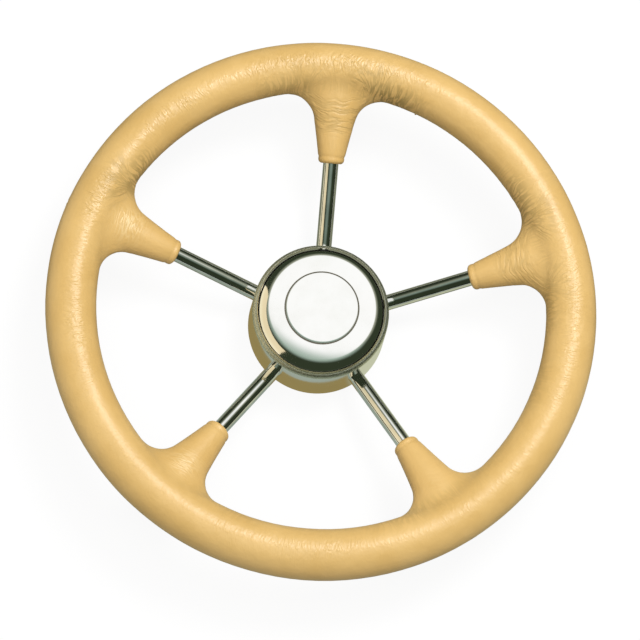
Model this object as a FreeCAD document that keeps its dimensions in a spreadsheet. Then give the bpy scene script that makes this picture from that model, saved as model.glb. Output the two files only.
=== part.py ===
import FreeCAD, Part
import math
import os

import Sketcher
from FreeCAD import Placement, Rotation, Vector

# Five-spoke boat steering wheel: polished stainless hub and rods, leather grip.
# The frame: origin at the middle of the hub's back, +Z along the axis towards the driver,
# and the first spoke along +Y. All sizes are in millimetres.

SIZES = (
    # rim and branches
    ("wheel_dia", 350.0, "outside diameter over the leather"),
    ("grip_dia", 32.0, "leather grip, across its round section"),
    ("rim_height", 58.0, "middle plane of the rim above the hub's back"),
    ("core_dia", 10.0, "steel ring inside the grip"),
    ("skin", 1.2, "leather thickness"),
    ("branch_start", 100.0, "radius at which the leather branches begin"),
    ("branch_end_dia", 15.8, "branch where the rod comes out"),
    ("branch_waist_place", 19.7, "waist of the branch, outwards from its end"),
    ("branch_waist_width", 23.4, "branch at the waist"),
    ("branch_waist_height", 19.6, "its height there"),
    ("branch_root_sink", 5.3, "root of the branch, short of the rim's middle line"),
    ("branch_root_width", 41.0, "branch at the root"),
    ("branch_root_height", 23.6, "its height there"),
    ("branch_blend", 17.0, "radius of the hollow between branch and rim"),
    ("hem_wall", 2.0, "turned-in leather that closes the branch end"),
    ("hem_round", 1.6, "rounding of the branch end"),
    ("padding_round", 0.4, "rounding of the padding's ends"),
    ("hem_groove_place", 3.4, "stitch groove behind the branch end"),
    ("hem_groove_wire", 1.0, "diameter of that groove's section"),
    ("hem_slack", 0.1, "gap between the leather and the rod"),
    # rods
    ("spoke_count", 5.0, "spokes, evenly spaced"),
    ("rod_dia", 10.0, "spoke rod"),
    ("rod_entry", 22.5, "height of the rod's middle where it meets the drum"),
    ("rod_slack", 0.05, "gap round the rod in the drum, and between its end and the ring"),
    # hub drum, back plate and boss
    ("drum_dia", 87.6, "hub drum, outside at its shoulder"),
    ("drum_flare", 1.2, "drum wider at its back, on each side"),
    ("drum_height", 44.0, "top of the drum's shoulder"),
    ("drum_wall", 1.5, "drum sheet"),
    ("shoulder_round", 2.6, "rounded shoulder of the drum"),
    ("mouth_land", 4.6, "drum's top, from the outside to the opening for the cap"),
    ("lip_depth", 10.0, "turned-down lip round the opening"),
    ("plate_thick", 4.0, "back plate"),
    ("plate_recess", 2.0, "back plate, set into the drum"),
    ("boss_dia", 38.0, "turned boss"),
    ("boss_height", 36.0, "boss, back to front"),
    ("boss_chamfer", 1.0, "broken edges of the boss"),
    ("taper_large_dia", 19.05, "large end of the taper bore, at the back"),
    ("taper_length", 25.4, "length of the taper bore"),
    ("taper_ratio", 12.0, "length for one unit of diameter"),
    ("key_width", 4.76, "keyway width"),
    ("key_depth", 2.4, "keyway depth beyond the large end"),
    ("nut_pocket_dia", 28.0, "pocket for the shaft nut and washer"),
    # cap, disc and ring
    ("cap_lap", 2.0, "cap over the drum's top, beyond the opening"),
    ("cap_edge_land", 0.6, "upright part of the cap's edge, above the seam"),
    ("cap_brim_round", 1.0, "broken corner above that upright part"),
    ("cap_crown", 400.0, "radius of the crown"),
    ("cap_edge_round", 19.0, "rounded edge of the cap"),
    ("cap_edge_width", 15.0, "width of that rounding, seen from the front"),
    ("cap_wall", 2.2, "cap wall"),
    ("seam_gap", 0.3, "open seam between cap and drum"),
    ("skirt_slack", 0.5, "gap between the cap's skirt and the lip"),
    ("skirt_wall", 3.6, "skirt"),
    ("skirt_depth", 9.0, "skirt below the seam"),
    ("ring_wire", 2.6, "rubber ring's section"),
    ("ring_slack", 0.25, "gap between the ring and the lip"),
    ("ring_groove_width", 3.0, "groove that holds the ring"),
    ("disc_dia", 46.4, "blank disc in the crown"),
    ("disc_slack", 0.4, "gap round the disc"),
    ("disc_seat", 0.6, "depth of the disc's seat at its edge"),
    ("disc_bevel_width", 2.0, "bevel round the disc"),
    ("disc_proud", 0.35, "disc above the crown"),
)

doc = FreeCAD.newDocument("SteeringWheel")
sheet = doc.addObject("Spreadsheet::Sheet", "Sizes")


class Size:
    # A length with its value and the formula that ties it to the sheet.

    def __init__(self, value, formula):
        self.value = float(value)
        self.formula = formula

    def joined(self, other, sign, value):
        right = other.formula if isinstance(other, Size) else repr(float(other))
        return Size(value, "(%s %s %s)" % (self.formula, sign, right))

    def __add__(self, other):
        return self.joined(other, "+", self.value + float(other))

    def __sub__(self, other):
        return self.joined(other, "-", self.value - float(other))

    def __mul__(self, other):
        return self.joined(other, "*", self.value * float(other))

    def __truediv__(self, other):
        return self.joined(other, "/", self.value / float(other))

    def __float__(self):
        return self.value


def fill_sheet():
    for row, (word, value, note) in enumerate(SIZES, start=1):
        sheet.set("A%d" % row, word)
        sheet.set("B%d" % row, str(value))
        sheet.set("C%d" % row, note)
        sheet.setAlias("B%d" % row, word)
    doc.recompute()


def size(word):
    return Size(sheet.get(word), "Sizes." + word)


def root(square):
    return Size(math.sqrt(float(square)), "sqrt(%s)" % square.formula)


def bind(thing, name, length):
    thing.setExpression(name, length.formula)


def new_body(name):
    body = doc.addObject("PartDesign::Body", name)
    body.Label = name
    return body


def origin_feature(body, role):
    return [f for f in body.Origin.OriginFeatures if f.Role == role][0]


def new_sketch(body, name, role):
    sketch = body.newObject("Sketcher::SketchObject", name)
    sketch.AttachmentSupport = [(origin_feature(body, role), "")]
    sketch.MapMode = "FlatFace"
    return sketch


def pin_point(sketch, curve, end, across, up):
    # Ties one point of a sketch to its distances from the sketch's origin.
    for kind, length in (("DistanceX", across), ("DistanceY", up)):
        if float(length) == 0.0:
            axis = -2 if kind == "DistanceX" else -1
            sketch.addConstraint(Sketcher.Constraint("PointOnObject", curve, end, axis))
            continue
        index = sketch.addConstraint(Sketcher.Constraint(kind, -1, 1, curve, end, float(length)))
        if isinstance(length, Size):
            sketch.renameConstraint(index, "place%d" % index)
            sketch.setExpression("Constraints.place%d" % index, length.formula)


def set_radius(sketch, curve, radius):
    index = sketch.addConstraint(Sketcher.Constraint("Radius", curve, float(radius)))
    sketch.renameConstraint(index, "radius%d" % index)
    sketch.setExpression("Constraints.radius%d" % index, radius.formula)


def draw_outline(sketch, corners):
    # A closed outline of straight edges through corners, each (across, up).
    points = [Vector(float(x), float(y), 0) for x, y in corners]
    count = len(points)
    for i in range(count):
        sketch.addGeometry(Part.LineSegment(points[i], points[(i + 1) % count]), False)
    for i in range(count):
        sketch.addConstraint(Sketcher.Constraint("Coincident", i, 2, (i + 1) % count, 1))
    for i, (x, y) in enumerate(corners):
        pin_point(sketch, i, 1, x, y)


def draw_circle(sketch, radius):
    curve = sketch.addGeometry(Part.Circle(Vector(0, 0, 0), Vector(0, 0, 1), float(radius)), False)
    sketch.addConstraint(Sketcher.Constraint("Coincident", curve, 3, -1, 1))
    set_radius(sketch, curve, radius)


def turned(body, name, sketch, kind="PartDesign::Revolution"):
    # Turns a sketch once round the wheel's axis.
    feature = body.newObject(kind, name)
    feature.Profile = sketch
    feature.ReferenceAxis = (origin_feature(body, "Z_Axis"), [""])
    feature.Angle = 360.0
    sketch.Visibility = False
    return feature


def polar(body, feature, name):
    pattern = body.newObject("PartDesign::PolarPattern", name)
    pattern.Originals = [feature]
    pattern.Axis = (origin_feature(body, "Z_Axis"), [""])
    pattern.Angle = 360.0
    bind(pattern, "Occurrences", size("spoke_count"))
    body.Tip = pattern
    return pattern


def round_edges(shape, radius, height):
    # Names of the circular edges of this radius at this height.
    names = []
    for number, edge in enumerate(shape.Edges, start=1):
        if edge.Degenerated or not isinstance(edge.Curve, Part.Circle):
            continue
        curve = edge.Curve
        if abs(curve.Radius - float(radius)) > 0.01 or abs(curve.Center.z - float(height)) > 0.01:
            continue
        names.append("Edge%d" % number)
    return names


def dress_edges(body, kind, name, length, places):
    # A fillet or chamfer on the circular edges found at places, each (radius, height).
    doc.recompute()
    base = body.Tip
    feature = body.newObject(kind, name)
    edges = []
    for radius, height in places:
        edges += round_edges(base.Shape, radius, height)
    feature.Base = (base, edges)
    bind(feature, "Radius" if kind.endswith("Fillet") else "Size", length)
    return feature


def spoke_angle(index):
    return 360.0 / round(float(size("spoke_count"))) * index


def round_axis(index):
    return Placement(Vector(0, 0, 0), Rotation(Vector(0, 0, 1), spoke_angle(index)))


fill_sheet()

# Places that several pieces share
drum_r = size("drum_dia") / 2
grip_r = size("grip_dia") / 2
rim_r = size("wheel_dia") / 2 - grip_r
rim_z = size("rim_height")
core_r = size("core_dia") / 2
rod_r = size("rod_dia") / 2
boss_r = size("boss_dia") / 2
drum_top = size("drum_height")
mouth_r = drum_r - size("mouth_land")
seam_z = drum_top + size("seam_gap")
skirt_r = mouth_r - size("skirt_slack")
cap_r = mouth_r + size("cap_lap")
crown_r = size("cap_crown")
edge_r = size("cap_edge_round")
edge_x = cap_r - size("cap_edge_width")
brim_z = seam_z + size("cap_edge_land")
edge_z = brim_z - root(edge_r * edge_r - size("cap_edge_width") * size("cap_edge_width"))
crown_z = edge_z - root((crown_r - edge_r) * (crown_r - edge_r) - edge_x * edge_x)
crown_top = crown_z + crown_r
rod_run = float(rim_r) - float(drum_r)
rod_rise = float(rim_z) - float(size("rod_entry"))
rod_slope = math.atan2(rod_rise, rod_run)


def on_rod(radius):
    # Point on the middle line of the first rod at a distance from the wheel's axis.
    height = float(size("rod_entry")) + (float(radius) - float(drum_r)) * math.tan(rod_slope)
    return Vector(0, float(radius), height)


def across_rod(radius):
    # Frame on that line: its Z runs outwards along the rod, its X across the wheel.
    turn = Rotation(Vector(1, 0, 0), math.degrees(rod_slope) - 90.0)
    return Placement(on_rod(radius), turn)


def rod_length(start, end):
    return (float(end) - float(start)) / math.cos(rod_slope)


# Hub drum: a pressed cup with a rounded shoulder, a turned-down lip and one hole for each rod
def make_hub_shell():
    wall = size("drum_wall")
    lip_foot = drum_top - size("lip_depth")
    body = new_body("hub_shell")
    sketch = new_sketch(body, "drum_section", "XZ_Plane")
    back_r = drum_r + size("drum_flare")
    draw_outline(sketch, (
        (back_r, 0),
        (drum_r, drum_top),
        (mouth_r, drum_top),
        (mouth_r, lip_foot),
        (mouth_r + wall, lip_foot),
        (mouth_r + wall, drum_top - wall),
        (drum_r - wall, drum_top - wall),
        (back_r - wall, 0),
    ))
    turned(body, "drum", sketch)
    dress_edges(body, "PartDesign::Fillet", "outer_shoulder", size("shoulder_round"),
                [(drum_r, drum_top)])
    dress_edges(body, "PartDesign::Fillet", "inner_shoulder", size("shoulder_round") - wall,
                [(drum_r - wall, drum_top - wall)])
    dress_edges(body, "PartDesign::Fillet", "mouth_edge", wall / 2, [(mouth_r, drum_top)])
    doc.recompute()
    hole = body.newObject("PartDesign::SubtractiveCylinder", "rod_hole")
    bind(hole, "Radius", rod_r + size("rod_slack"))
    bind(hole, "Height", size("drum_dia") / 4)
    hole.Placement = across_rod(float(drum_r) - float(size("drum_dia")) / 8)
    polar(body, hole, "rod_holes")
    return body


# Back plate, let into the back of the drum and welded to the boss
def make_back_plate():
    body = new_body("hub_back_plate")
    sketch = new_sketch(body, "plate_outline", "XY_Plane")
    front_share = (size("plate_recess") + size("plate_thick")) / (drum_top - size("drum_wall"))
    drum_inside = drum_r + size("drum_flare") - size("drum_wall")
    draw_circle(sketch, drum_inside - size("drum_flare") * front_share)
    draw_circle(sketch, boss_r)
    sketch.setExpression("AttachmentOffset.Base.z", "Sizes.plate_recess")
    pad = body.newObject("PartDesign::Pad", "plate")
    pad.Profile = sketch
    bind(pad, "Length", size("plate_thick"))
    return body


# Boss: taper bore with a keyway at the back, pocket for the shaft nut at the front
def make_boss():
    taper_end = size("taper_length")
    large_r = size("taper_large_dia") / 2
    small_r = large_r - taper_end / size("taper_ratio") / 2
    pocket_r = size("nut_pocket_dia") / 2
    front = size("boss_height")
    body = new_body("hub_boss")
    sketch = new_sketch(body, "boss_section", "XZ_Plane")
    draw_outline(sketch, (
        (large_r, 0),
        (boss_r, 0),
        (boss_r, front),
        (pocket_r, front),
        (pocket_r, taper_end),
        (small_r, taper_end),
    ))
    turned(body, "boss", sketch)
    dress_edges(body, "PartDesign::Chamfer", "broken_edges", size("boss_chamfer"),
                [(boss_r, front), (boss_r, 0)])
    doc.recompute()
    before = body.Shape.Volume
    key = new_sketch(body, "keyway_outline", "XY_Plane")
    half = size("key_width") / 2
    floor = large_r + size("key_depth")
    draw_outline(key, ((half * -1, 0), (half, 0), (half, floor), (half * -1, floor)))
    pocket = body.newObject("PartDesign::Pocket", "keyway")
    pocket.Profile = key
    pocket.Reversed = True
    bind(pocket, "Length", taper_end)
    doc.recompute()
    if body.Shape.Volume >= before:
        raise RuntimeError("the keyway cuts nothing")
    return body


# Spoke: a rod coped on the boss at one end and on the ring in the grip at the other
def make_spoke(index):
    inside_boss = boss_r / 2
    body = new_body("spoke_%d" % (index + 1))
    rod = body.newObject("PartDesign::AdditiveCylinder", "rod")
    bind(rod, "Radius", rod_r)
    rod.Height = rod_length(inside_boss, rim_r)
    rod.Placement = across_rod(inside_boss)
    boss_cope = body.newObject("PartDesign::SubtractiveCylinder", "boss_cope")
    bind(boss_cope, "Radius", boss_r)
    bind(boss_cope, "Height", rim_z)
    core_cope = body.newObject("PartDesign::SubtractiveTorus", "core_cope")
    bind(core_cope, "Radius1", rim_r)
    bind(core_cope, "Radius2", core_r + size("rod_slack"))
    core_cope.setExpression("Placement.Base.z", rim_z.formula)
    body.Placement = round_axis(index)
    return body


# Ring inside the grip, bent from the same rod as the spokes
def make_core():
    body = new_body("rim_core")
    ring = body.newObject("PartDesign::AdditiveTorus", "ring")
    bind(ring, "Radius1", rim_r)
    bind(ring, "Radius2", core_r)
    ring.setExpression("Placement.Base.z", rim_z.formula)
    return body


def part_torus(name, big, small, place):
    torus = doc.addObject("Part::Torus", name)
    bind(torus, "Radius1", big)
    bind(torus, "Radius2", small)
    torus.Placement = place
    return torus


def ring_of(name, piece):
    # The piece once at every spoke.
    copies = []
    for i in range(round(float(size("spoke_count")))):
        copy = doc.addObject("Part::Compound", "%s_%d" % (name, i + 1))
        copy.Links = [piece]
        copy.Placement = round_axis(i)
        copies.append(copy)
    return copies


def branch_section(name, radius, half_width, half_height):
    # An oval across the rod; its long axis lies along the wider of the two sizes.
    oval = doc.addObject("Part::Ellipse", name)
    place = across_rod(radius)
    if float(half_width) >= float(half_height):
        bind(oval, "MajorRadius", half_width)
        bind(oval, "MinorRadius", half_height)
        oval.Placement = place
    else:
        bind(oval, "MajorRadius", half_height)
        bind(oval, "MinorRadius", half_width)
        oval.Placement = place * Placement(Vector(0, 0, 0), Rotation(Vector(0, 0, 1), 90))
    return oval


def make_grip_form(name, inset, start, end_round):
    # The grip's outer form, a round ring with one flared branch for each spoke, blended
    # into it by a hollow fillet. The same form, smaller by inset all over, is the padding.
    first = size("branch_start")
    waist = first + size("branch_waist_place")
    root_at = rim_r - size("branch_root_sink")
    end_half = size("branch_end_dia") / 2 - inset
    sections = (
        branch_section(name + "_end", start, end_half, end_half),
        branch_section(name + "_waist", waist, size("branch_waist_width") / 2 - inset,
                       size("branch_waist_height") / 2 - inset),
        branch_section(name + "_root", root_at, size("branch_root_width") / 2 - inset,
                       size("branch_root_height") / 2 - inset),
    )
    branch = doc.addObject("Part::Loft", name + "_branch")
    branch.Sections = list(sections)
    branch.Solid = True
    place = Placement(Vector(0, 0, float(rim_z)), Rotation())
    tube = part_torus(name + "_tube", rim_r, grip_r - inset, place)
    joined = doc.addObject("Part::MultiFuse", name + "_joined")
    joined.Shapes = [tube] + ring_of(name + "_branch", branch)
    doc.recompute()
    blended = doc.addObject("Part::Fillet", name + "_blended")
    blended.Base = joined
    blended.Edges = blend_edges(joined.Shape, grip_r - inset, size("branch_blend") + inset)
    blended.Edges += end_edges(joined.Shape, end_half, end_round)
    doc.recompute()
    return blended


def off_tube(point):
    # Distance of a point from the middle line of the rim.
    return math.hypot(math.hypot(point.x, point.y) - float(rim_r), point.z - float(rim_z))


def blend_edges(shape, tube_r, radius):
    # Where the branches leave the tube: edges that lie on the tube and near a branch.
    found = []
    reach = math.radians(360.0 / float(size("spoke_count")) / 3)
    for number, edge in enumerate(shape.Edges, start=1):
        points = edge.discretize(9)
        if max(abs(off_tube(p) - float(tube_r)) for p in points) > 0.02:
            continue
        wide = 0.0
        for p in points:
            turn = math.atan2(p.x, p.y) % math.radians(spoke_angle(1))
            wide = max(wide, min(turn, math.radians(spoke_angle(1)) - turn))
        if wide < reach / 2 and edge.Length > float(size("rod_dia")):
            found.append((number, float(radius), float(radius)))
    return found


def end_edges(shape, radius, rounding):
    # The rims of the branch ends.
    found = []
    for number, edge in enumerate(shape.Edges, start=1):
        middle = edge.BoundBox.Center
        whole_turn = abs(edge.Length - 2 * math.pi * float(radius)) < 0.5
        if whole_turn and math.hypot(middle.x, middle.y) < float(rim_r - grip_r):
            found.append((number, float(rounding), float(rounding)))
    return found


def part_cut(name, base, tools):
    tool = doc.addObject("Part::MultiFuse", name + "_tools")
    tool.Shapes = tools
    cut = doc.addObject("Part::Cut", name)
    cut.Base = base
    cut.Tool = tool
    cut.Label = name
    return cut


def rod_bores(name, slack):
    # Cylinders along the rods, from clear of the branch ends to the middle of the ring.
    start = float(size("branch_start")) - float(size("rod_dia"))
    bore = doc.addObject("Part::Cylinder", name)
    bind(bore, "Radius", rod_r + slack)
    bore.Height = rod_length(start, rim_r)
    bore.Placement = across_rod(start)
    return ring_of(name, bore)


# Grip: leather skin drawn over moulded padding, hemmed where the rods come out
def make_grip():
    skin = size("skin")
    first = size("branch_start")
    outer = make_grip_form("leather_form", skin * 0, first, size("hem_round"))
    inner = make_grip_form("padding_form", skin, first + size("hem_wall"), size("padding_round"))
    core = part_torus("core_space", rim_r, core_r, Placement(Vector(0, 0, float(rim_z)), Rotation()))
    padding = part_cut("rim_padding", inner, [core] + rod_bores("padding_bore", skin * 0))

    groove_at = float(first) + float(size("hem_groove_place"))
    groove = part_torus("hem_groove", size("branch_end_dia") / 2 + size("hem_groove_wire") / 4,
                        size("hem_groove_wire") / 2, across_rod(groove_at))
    tools = [inner] + rod_bores("leather_bore", size("hem_slack")) + ring_of("hem_groove", groove)
    leather = part_cut("leather_cover", outer, tools)
    return padding, leather


# Cap: crowned top, rounded edge, and a skirt that plugs into the drum's lip
def make_cap():
    wall = size("cap_wall")
    skirt_in = skirt_r - size("skirt_wall")
    skirt_foot = seam_z - size("skirt_depth")
    inner_edge = edge_r - wall
    inner_run = float(skirt_in - edge_x)
    inner_lift = math.sqrt(float(inner_edge) ** 2 - inner_run ** 2)

    axis_point = Vector(0, float(crown_z), 0)
    edge_centre = Vector(float(edge_x), float(edge_z), 0)
    upright = Vector(0, 0, 1)
    lean = math.atan2(float(edge_z - crown_z), float(edge_x))
    inner_lean = math.atan2(inner_lift, inner_run)
    brim_lean = math.acos(float(cap_r - edge_x) / float(edge_r))

    body = new_body("hub_cap")
    sketch = new_sketch(body, "cap_section", "XZ_Plane")
    arcs = (
        Part.ArcOfCircle(Part.Circle(axis_point, upright, float(crown_r)), lean, math.pi / 2),
        Part.ArcOfCircle(Part.Circle(edge_centre, upright, float(edge_r)), brim_lean, lean),
        Part.ArcOfCircle(Part.Circle(edge_centre, upright, float(inner_edge)), inner_lean, lean),
        Part.ArcOfCircle(Part.Circle(axis_point, upright, float(crown_r - wall)), lean, math.pi / 2),
    )
    crown, edge, in_edge, in_crown = (sketch.addGeometry(arc, False) for arc in arcs)
    corners = (
        (cap_r, seam_z),
        (skirt_r, seam_z),
        (skirt_r, skirt_foot),
        (skirt_in, skirt_foot),
    )
    route = [(float(cap_r), float(brim_z))] + [(float(x), float(y)) for x, y in corners]
    route.append((float(skirt_in), float(edge_z) + inner_lift))
    lines = []
    for start, end in zip(route, route[1:]):
        line = Part.LineSegment(Vector(start[0], start[1], 0), Vector(end[0], end[1], 0))
        lines.append(sketch.addGeometry(line, False))
    close = sketch.addGeometry(Part.LineSegment(Vector(0, float(crown_top - wall), 0),
                                                Vector(0, float(crown_top), 0)), False)
    joints = [("Tangent", crown, 1, edge, 2), ("Coincident", edge, 1, lines[0], 1)]
    joints += [("Coincident", a, 2, b, 1) for a, b in zip(lines, lines[1:])]
    joints += [("Coincident", lines[-1], 2, in_edge, 1), ("Tangent", in_edge, 2, in_crown, 1),
               ("Coincident", in_crown, 2, close, 1), ("Coincident", close, 2, crown, 2),
               ("Coincident", in_edge, 3, edge, 3), ("Coincident", in_crown, 3, crown, 3),
               ("Vertical", lines[0]), ("Vertical", lines[-1]), ("PointOnObject", close, 1, -2),
               ("PointOnObject", close, 2, -2)]
    for joint in joints:
        sketch.addConstraint(Sketcher.Constraint(*joint))
    for line, (x, y) in zip(lines[1:], corners):
        pin_point(sketch, line, 1, x, y)
    pin_point(sketch, crown, 3, 0, crown_z)
    for arc, radius in ((crown, crown_r), (edge, edge_r), (in_edge, inner_edge)):
        set_radius(sketch, arc, radius)
    index = sketch.addConstraint(
        Sketcher.Constraint("DistanceX", -1, 1, edge, 3, float(edge_x)))
    sketch.renameConstraint(index, "edge_place")
    sketch.setExpression("Constraints.edge_place", edge_x.formula)
    turned(body, "cap", sketch)
    dress_edges(body, "PartDesign::Fillet", "brim", size("cap_brim_round"), [(cap_r, brim_z)])
    doc.recompute()

    seat = new_sketch(body, "disc_seat", "XZ_Plane")
    seat_r = size("disc_dia") / 2 + size("disc_slack")
    draw_outline(seat, ((0, disc_floor()), (seat_r, disc_floor()),
                        (seat_r, crown_top + wall), (0, crown_top + wall)))
    turned(body, "disc_seat_cut", seat, "PartDesign::Groove")

    groove = new_sketch(body, "ring_groove", "XZ_Plane")
    floor_r = mouth_r - size("ring_slack") - size("ring_wire")
    half = size("ring_groove_width") / 2
    draw_outline(groove, ((floor_r, ring_z() - half), (mouth_r, ring_z() - half),
                          (mouth_r, ring_z() + half), (floor_r, ring_z() + half)))
    turned(body, "ring_groove_cut", groove, "PartDesign::Groove")
    return body


def crown_drop(radius):
    # How far the crown has fallen at a distance from the axis.
    return crown_r - root(crown_r * crown_r - radius * radius)


def disc_floor():
    return crown_top - crown_drop(size("disc_dia") / 2) - size("disc_seat")


def ring_z():
    return seam_z - size("skirt_depth") / 2


# Rubber ring in the groove of the skirt
def make_ring():
    body = new_body("cap_ring")
    ring = body.newObject("PartDesign::AdditiveTorus", "ring")
    wire_r = size("ring_wire") / 2
    bind(ring, "Radius1", mouth_r - size("ring_slack") - wire_r)
    bind(ring, "Radius2", wire_r)
    ring.setExpression("Placement.Base.z", ring_z().formula)
    return body


# Blank disc in the crown, bevelled round its edge
def make_disc():
    disc_r = size("disc_dia") / 2
    flat_r = disc_r - size("disc_bevel_width")
    proud = size("disc_proud")
    top = crown_top + proud
    brink = crown_top - crown_drop(disc_r)
    shoulder = top - crown_drop(flat_r)
    body = new_body("cap_disc")
    sketch = new_sketch(body, "disc_section", "XZ_Plane")
    lean = math.acos(float(flat_r) / float(crown_r))
    centre = Vector(0, float(crown_z + proud), 0)
    crown = sketch.addGeometry(Part.ArcOfCircle(
        Part.Circle(centre, Vector(0, 0, 1), float(crown_r)), lean, math.pi / 2), False)
    corners = ((0, disc_floor()), (disc_r, disc_floor()), (disc_r, brink), (flat_r, shoulder))
    lines = []
    for start, end in zip(corners, corners[1:]):
        ends = [Vector(float(x), float(y), 0) for x, y in (start, end)]
        lines.append(sketch.addGeometry(Part.LineSegment(*ends), False))
    close = sketch.addGeometry(Part.LineSegment(Vector(0, float(top), 0),
                                                Vector(0, float(disc_floor()), 0)), False)
    joints = [(lines[0], 2, lines[1], 1), (lines[1], 2, lines[2], 1), (lines[2], 2, crown, 1),
              (crown, 2, close, 1), (close, 2, lines[0], 1)]
    for first, first_end, second, second_end in joints:
        sketch.addConstraint(
            Sketcher.Constraint("Coincident", first, first_end, second, second_end))
    for line, (x, y) in zip(lines, corners):
        pin_point(sketch, line, 1, x, y)
    pin_point(sketch, crown, 3, 0, crown_z + proud)
    set_radius(sketch, crown, crown_r)
    index = sketch.addConstraint(
        Sketcher.Constraint("DistanceX", -1, 1, lines[2], 2, float(flat_r)))
    sketch.renameConstraint(index, "flat")
    sketch.setExpression("Constraints.flat", flat_r.formula)
    sketch.addConstraint(Sketcher.Constraint("PointOnObject", close, 1, -2))
    turned(body, "disc", sketch)
    return body


def check(pieces):
    for thing in doc.Objects:
        if "Invalid" in thing.State or "Error" in thing.State:
            raise RuntimeError("%s did not build" % thing.Name)
    for piece in pieces:
        shape = piece.Shape
        if shape.isNull() or not shape.isValid() or not shape.Solids:
            raise RuntimeError("%s has no sound solid" % piece.Label)


def export(pieces):
    os.makedirs("parts", exist_ok=True)
    for piece in pieces:
        piece.Shape.exportStep("parts/%s.step" % piece.Label)
        box = piece.Shape.BoundBox
        print("%-16s solids %d volume %9.1f  x %.2f..%.2f  z %.2f..%.2f" % (
            piece.Label, len(piece.Shape.Solids), piece.Shape.Volume,
            box.XMin, box.XMax, box.ZMin, box.ZMax))


pieces = [make_hub_shell(), make_back_plate(), make_boss(), make_core()]
pieces += [make_spoke(i) for i in range(round(float(size("spoke_count"))))]
pieces += make_grip()
pieces += [make_cap(), make_ring(), make_disc()]
doc.recompute()
check(pieces)
export(pieces)
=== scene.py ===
import math

import bpy
import numpy as np
from mathutils import Matrix, Vector


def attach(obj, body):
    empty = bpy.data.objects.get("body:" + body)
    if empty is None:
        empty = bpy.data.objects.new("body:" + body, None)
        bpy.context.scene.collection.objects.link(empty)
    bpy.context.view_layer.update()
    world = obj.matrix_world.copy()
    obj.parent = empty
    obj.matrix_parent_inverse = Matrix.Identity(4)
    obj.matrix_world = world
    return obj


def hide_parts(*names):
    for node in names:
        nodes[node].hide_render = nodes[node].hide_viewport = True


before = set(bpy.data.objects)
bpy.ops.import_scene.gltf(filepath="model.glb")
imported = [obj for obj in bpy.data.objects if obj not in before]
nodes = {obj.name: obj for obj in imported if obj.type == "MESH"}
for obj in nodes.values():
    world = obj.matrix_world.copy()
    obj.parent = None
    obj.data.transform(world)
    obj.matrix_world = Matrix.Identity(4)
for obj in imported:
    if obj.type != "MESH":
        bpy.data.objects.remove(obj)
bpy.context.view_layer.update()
scene = bpy.context.scene
bpy.ops.object.select_all(action="DESELECT")
print("frame loaded:", len(nodes), "nodes")

# the wheel's own measures, in metres, as the frame has them
wheel = {
    "rimRadius": 0.159,
    "gripRadius": 0.016,
    "rimHeight": 0.058,
    "hubRadius": 0.0438,
    "rodEntry": 0.0225,
    "shoulderFoot": 0.0412,  # height at which the drum's shoulder starts to turn in
    "branchStart": 0.100,
    "spokes": 5,
}
fifth = 2 * math.pi / wheel["spokes"]
rodSlope = math.atan2(wheel["rimHeight"] - wheel["rodEntry"], wheel["rimRadius"] - wheel["hubRadius"])
spokeTurns = [math.radians(90 + 360 / wheel["spokes"] * i) for i in range(wheel["spokes"])]
spokeNames = ["spoke_%d" % (i + 1) for i in range(wheel["spokes"])]


def rodHeight(radius):
    # height of a rod's middle line at this distance from the wheel's axis
    return wheel["rodEntry"] + (radius - wheel["hubRadius"]) * math.tan(rodSlope)


def switchTo(mode):
    bpy.ops.object.mode_set(mode=mode)


def activate(piece):
    if bpy.context.mode != "OBJECT":
        switchTo("OBJECT")
    bpy.ops.object.select_all(action="DESELECT")
    bpy.context.view_layer.objects.active = piece
    piece.select_set(True)


def pickFaces(piece, wanted):
    # goes into edit mode with only the wanted faces selected
    activate(piece)
    switchTo("EDIT")
    bpy.ops.mesh.select_mode(type="FACE")
    bpy.ops.mesh.select_all(action="DESELECT")
    switchTo("OBJECT")
    for face in piece.data.polygons:
        face.select = wanted(face)
    switchTo("EDIT")


def dropFaces(piece, unwanted):
    pickFaces(piece, unwanted)
    bpy.ops.mesh.delete(type="FACE")
    switchTo("OBJECT")


def settle(name):
    # names the object just made, and applies its place, turn and size
    piece = bpy.context.object
    piece.name = name
    bpy.ops.object.transform_apply(location=True, rotation=True, scale=True)
    return piece


def applyAll(piece):
    activate(piece)
    for modifier in list(piece.modifiers):
        bpy.ops.object.modifier_apply(modifier=modifier.name)


def readPoints(piece, kind="co"):
    values = np.empty(len(piece.data.vertices) * 3)
    piece.data.vertices.foreach_get(kind, values)
    return values.reshape(-1, 3)


def writePoints(piece, points):
    piece.data.vertices.foreach_set("co", points.ravel())
    piece.data.update()


def keepAttribute(piece, name, values):
    layer = piece.data.attributes.new(name, "FLOAT_VECTOR", "POINT")
    layer.data.foreach_set("vector", values.astype(np.float32).ravel())


def fade(value, low, high):
    t = np.clip((value - low) / (high - low), 0, 1)
    return t * t * (3 - 2 * t)


def band(value, limits):
    # rises from 0 to 1 between the first two limits, and falls back between the last two
    start, full, falling, end = limits
    return fade(value, start, full) * (1 - fade(value, falling, end))


def bell(value, width):
    return np.exp(-(value / width) ** 2)


def softNoise(points, seed):
    # smooth random values between -1 and 1 on a unit lattice
    cell = np.floor(points).astype(np.int64)
    part = points - cell
    part = part * part * (3 - 2 * part)
    total = np.zeros(len(points))
    for corner in range(8):
        step = np.array([(corner >> k) & 1 for k in range(3)])
        key = (cell + step) @ np.array([73856093, 19349663, 83492791]) + seed * 2654435761
        key = (key ^ (key >> 13)) * 1274126177
        key = (key ^ (key >> 16)) & 0xFFFFFF
        weight = np.prod(np.where(step == 1, part, 1 - part), axis=1)
        total += weight * (key / 0x7FFFFF - 1.0)
    return total


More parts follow.
